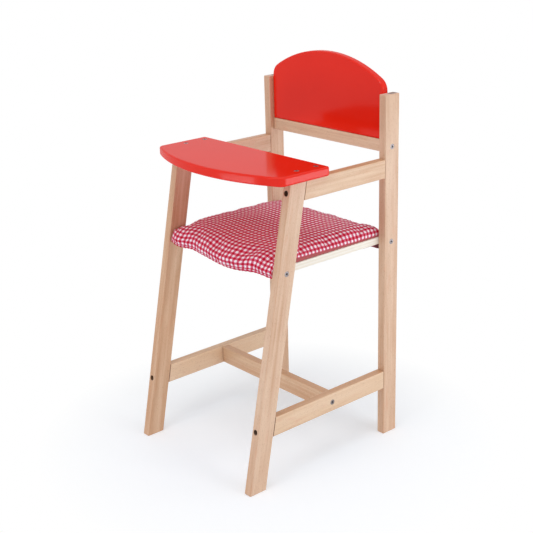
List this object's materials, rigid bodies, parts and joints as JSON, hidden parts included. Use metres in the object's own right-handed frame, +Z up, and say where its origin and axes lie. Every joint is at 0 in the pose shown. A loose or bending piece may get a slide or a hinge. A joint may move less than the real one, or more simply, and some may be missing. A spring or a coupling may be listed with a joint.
{
  "type": "doll high chair",
  "caption": "Doll high chair: leaning front legs and upright posts in two side frames, with a bowed tray, padded seat and crowned backrest.",
  "frame": {"origin": "on the floor, at the centre of the footprint", "axes": "+Z up; the front of the chair, with its tray, faces -Y; +X is the sitter's left"},
  "size_m": [0.2606, 0.2813, 0.5458],
  "materials": {
    "beech": "clear satin lacquer over pale steamed beech, with fine flecks",
    "dowel_beech": "plain turned beech",
    "seat_ply": "pale board, clear satin lacquer",
    "red_lacquer": "glossy opaque red lacquer over board, with rounded edges",
    "gingham": "red and white gingham cotton, 3.5 mm checks",
    "foam": "white polyester wadding",
    "strap_webbing": "dark red woven strap",
    "hook_tape": "black hook tape",
    "screw_steel": "zinc-plated steel"
  },
  "bodies": {
    "root": {"front_leg_left": "beech", "front_leg_right": "beech", "rear_post_left": "beech", "rear_post_right": "beech", "armrest_left": "beech", "armrest_right": "beech", "side_stretcher_left": "beech", "side_stretcher_right": "beech", "cross_stretcher": "beech", "back_rail": "beech", "seat_board": "seat_ply", "backrest_panel": "red_lacquer", "tray": "red_lacquer", "tray_screws": "screw_steel", "seat_screws": "screw_steel", "back_rail_screws": "screw_steel", "cross_stretcher_screws": "screw_steel", "front_leg_screws": "screw_steel", "rear_post_screws": "screw_steel", "side_frame_dowels": "dowel_beech", "cross_stretcher_dowels": "dowel_beech", "backrest_base_dowels": "dowel_beech", "backrest_side_dowels": "dowel_beech", "cushion_cover": "gingham", "cushion_foam": "foam", "cushion_strap_left": "strap_webbing", "cushion_strap_right": "strap_webbing", "strap_patches": "hook_tape"}
  },
  "joints": []
}
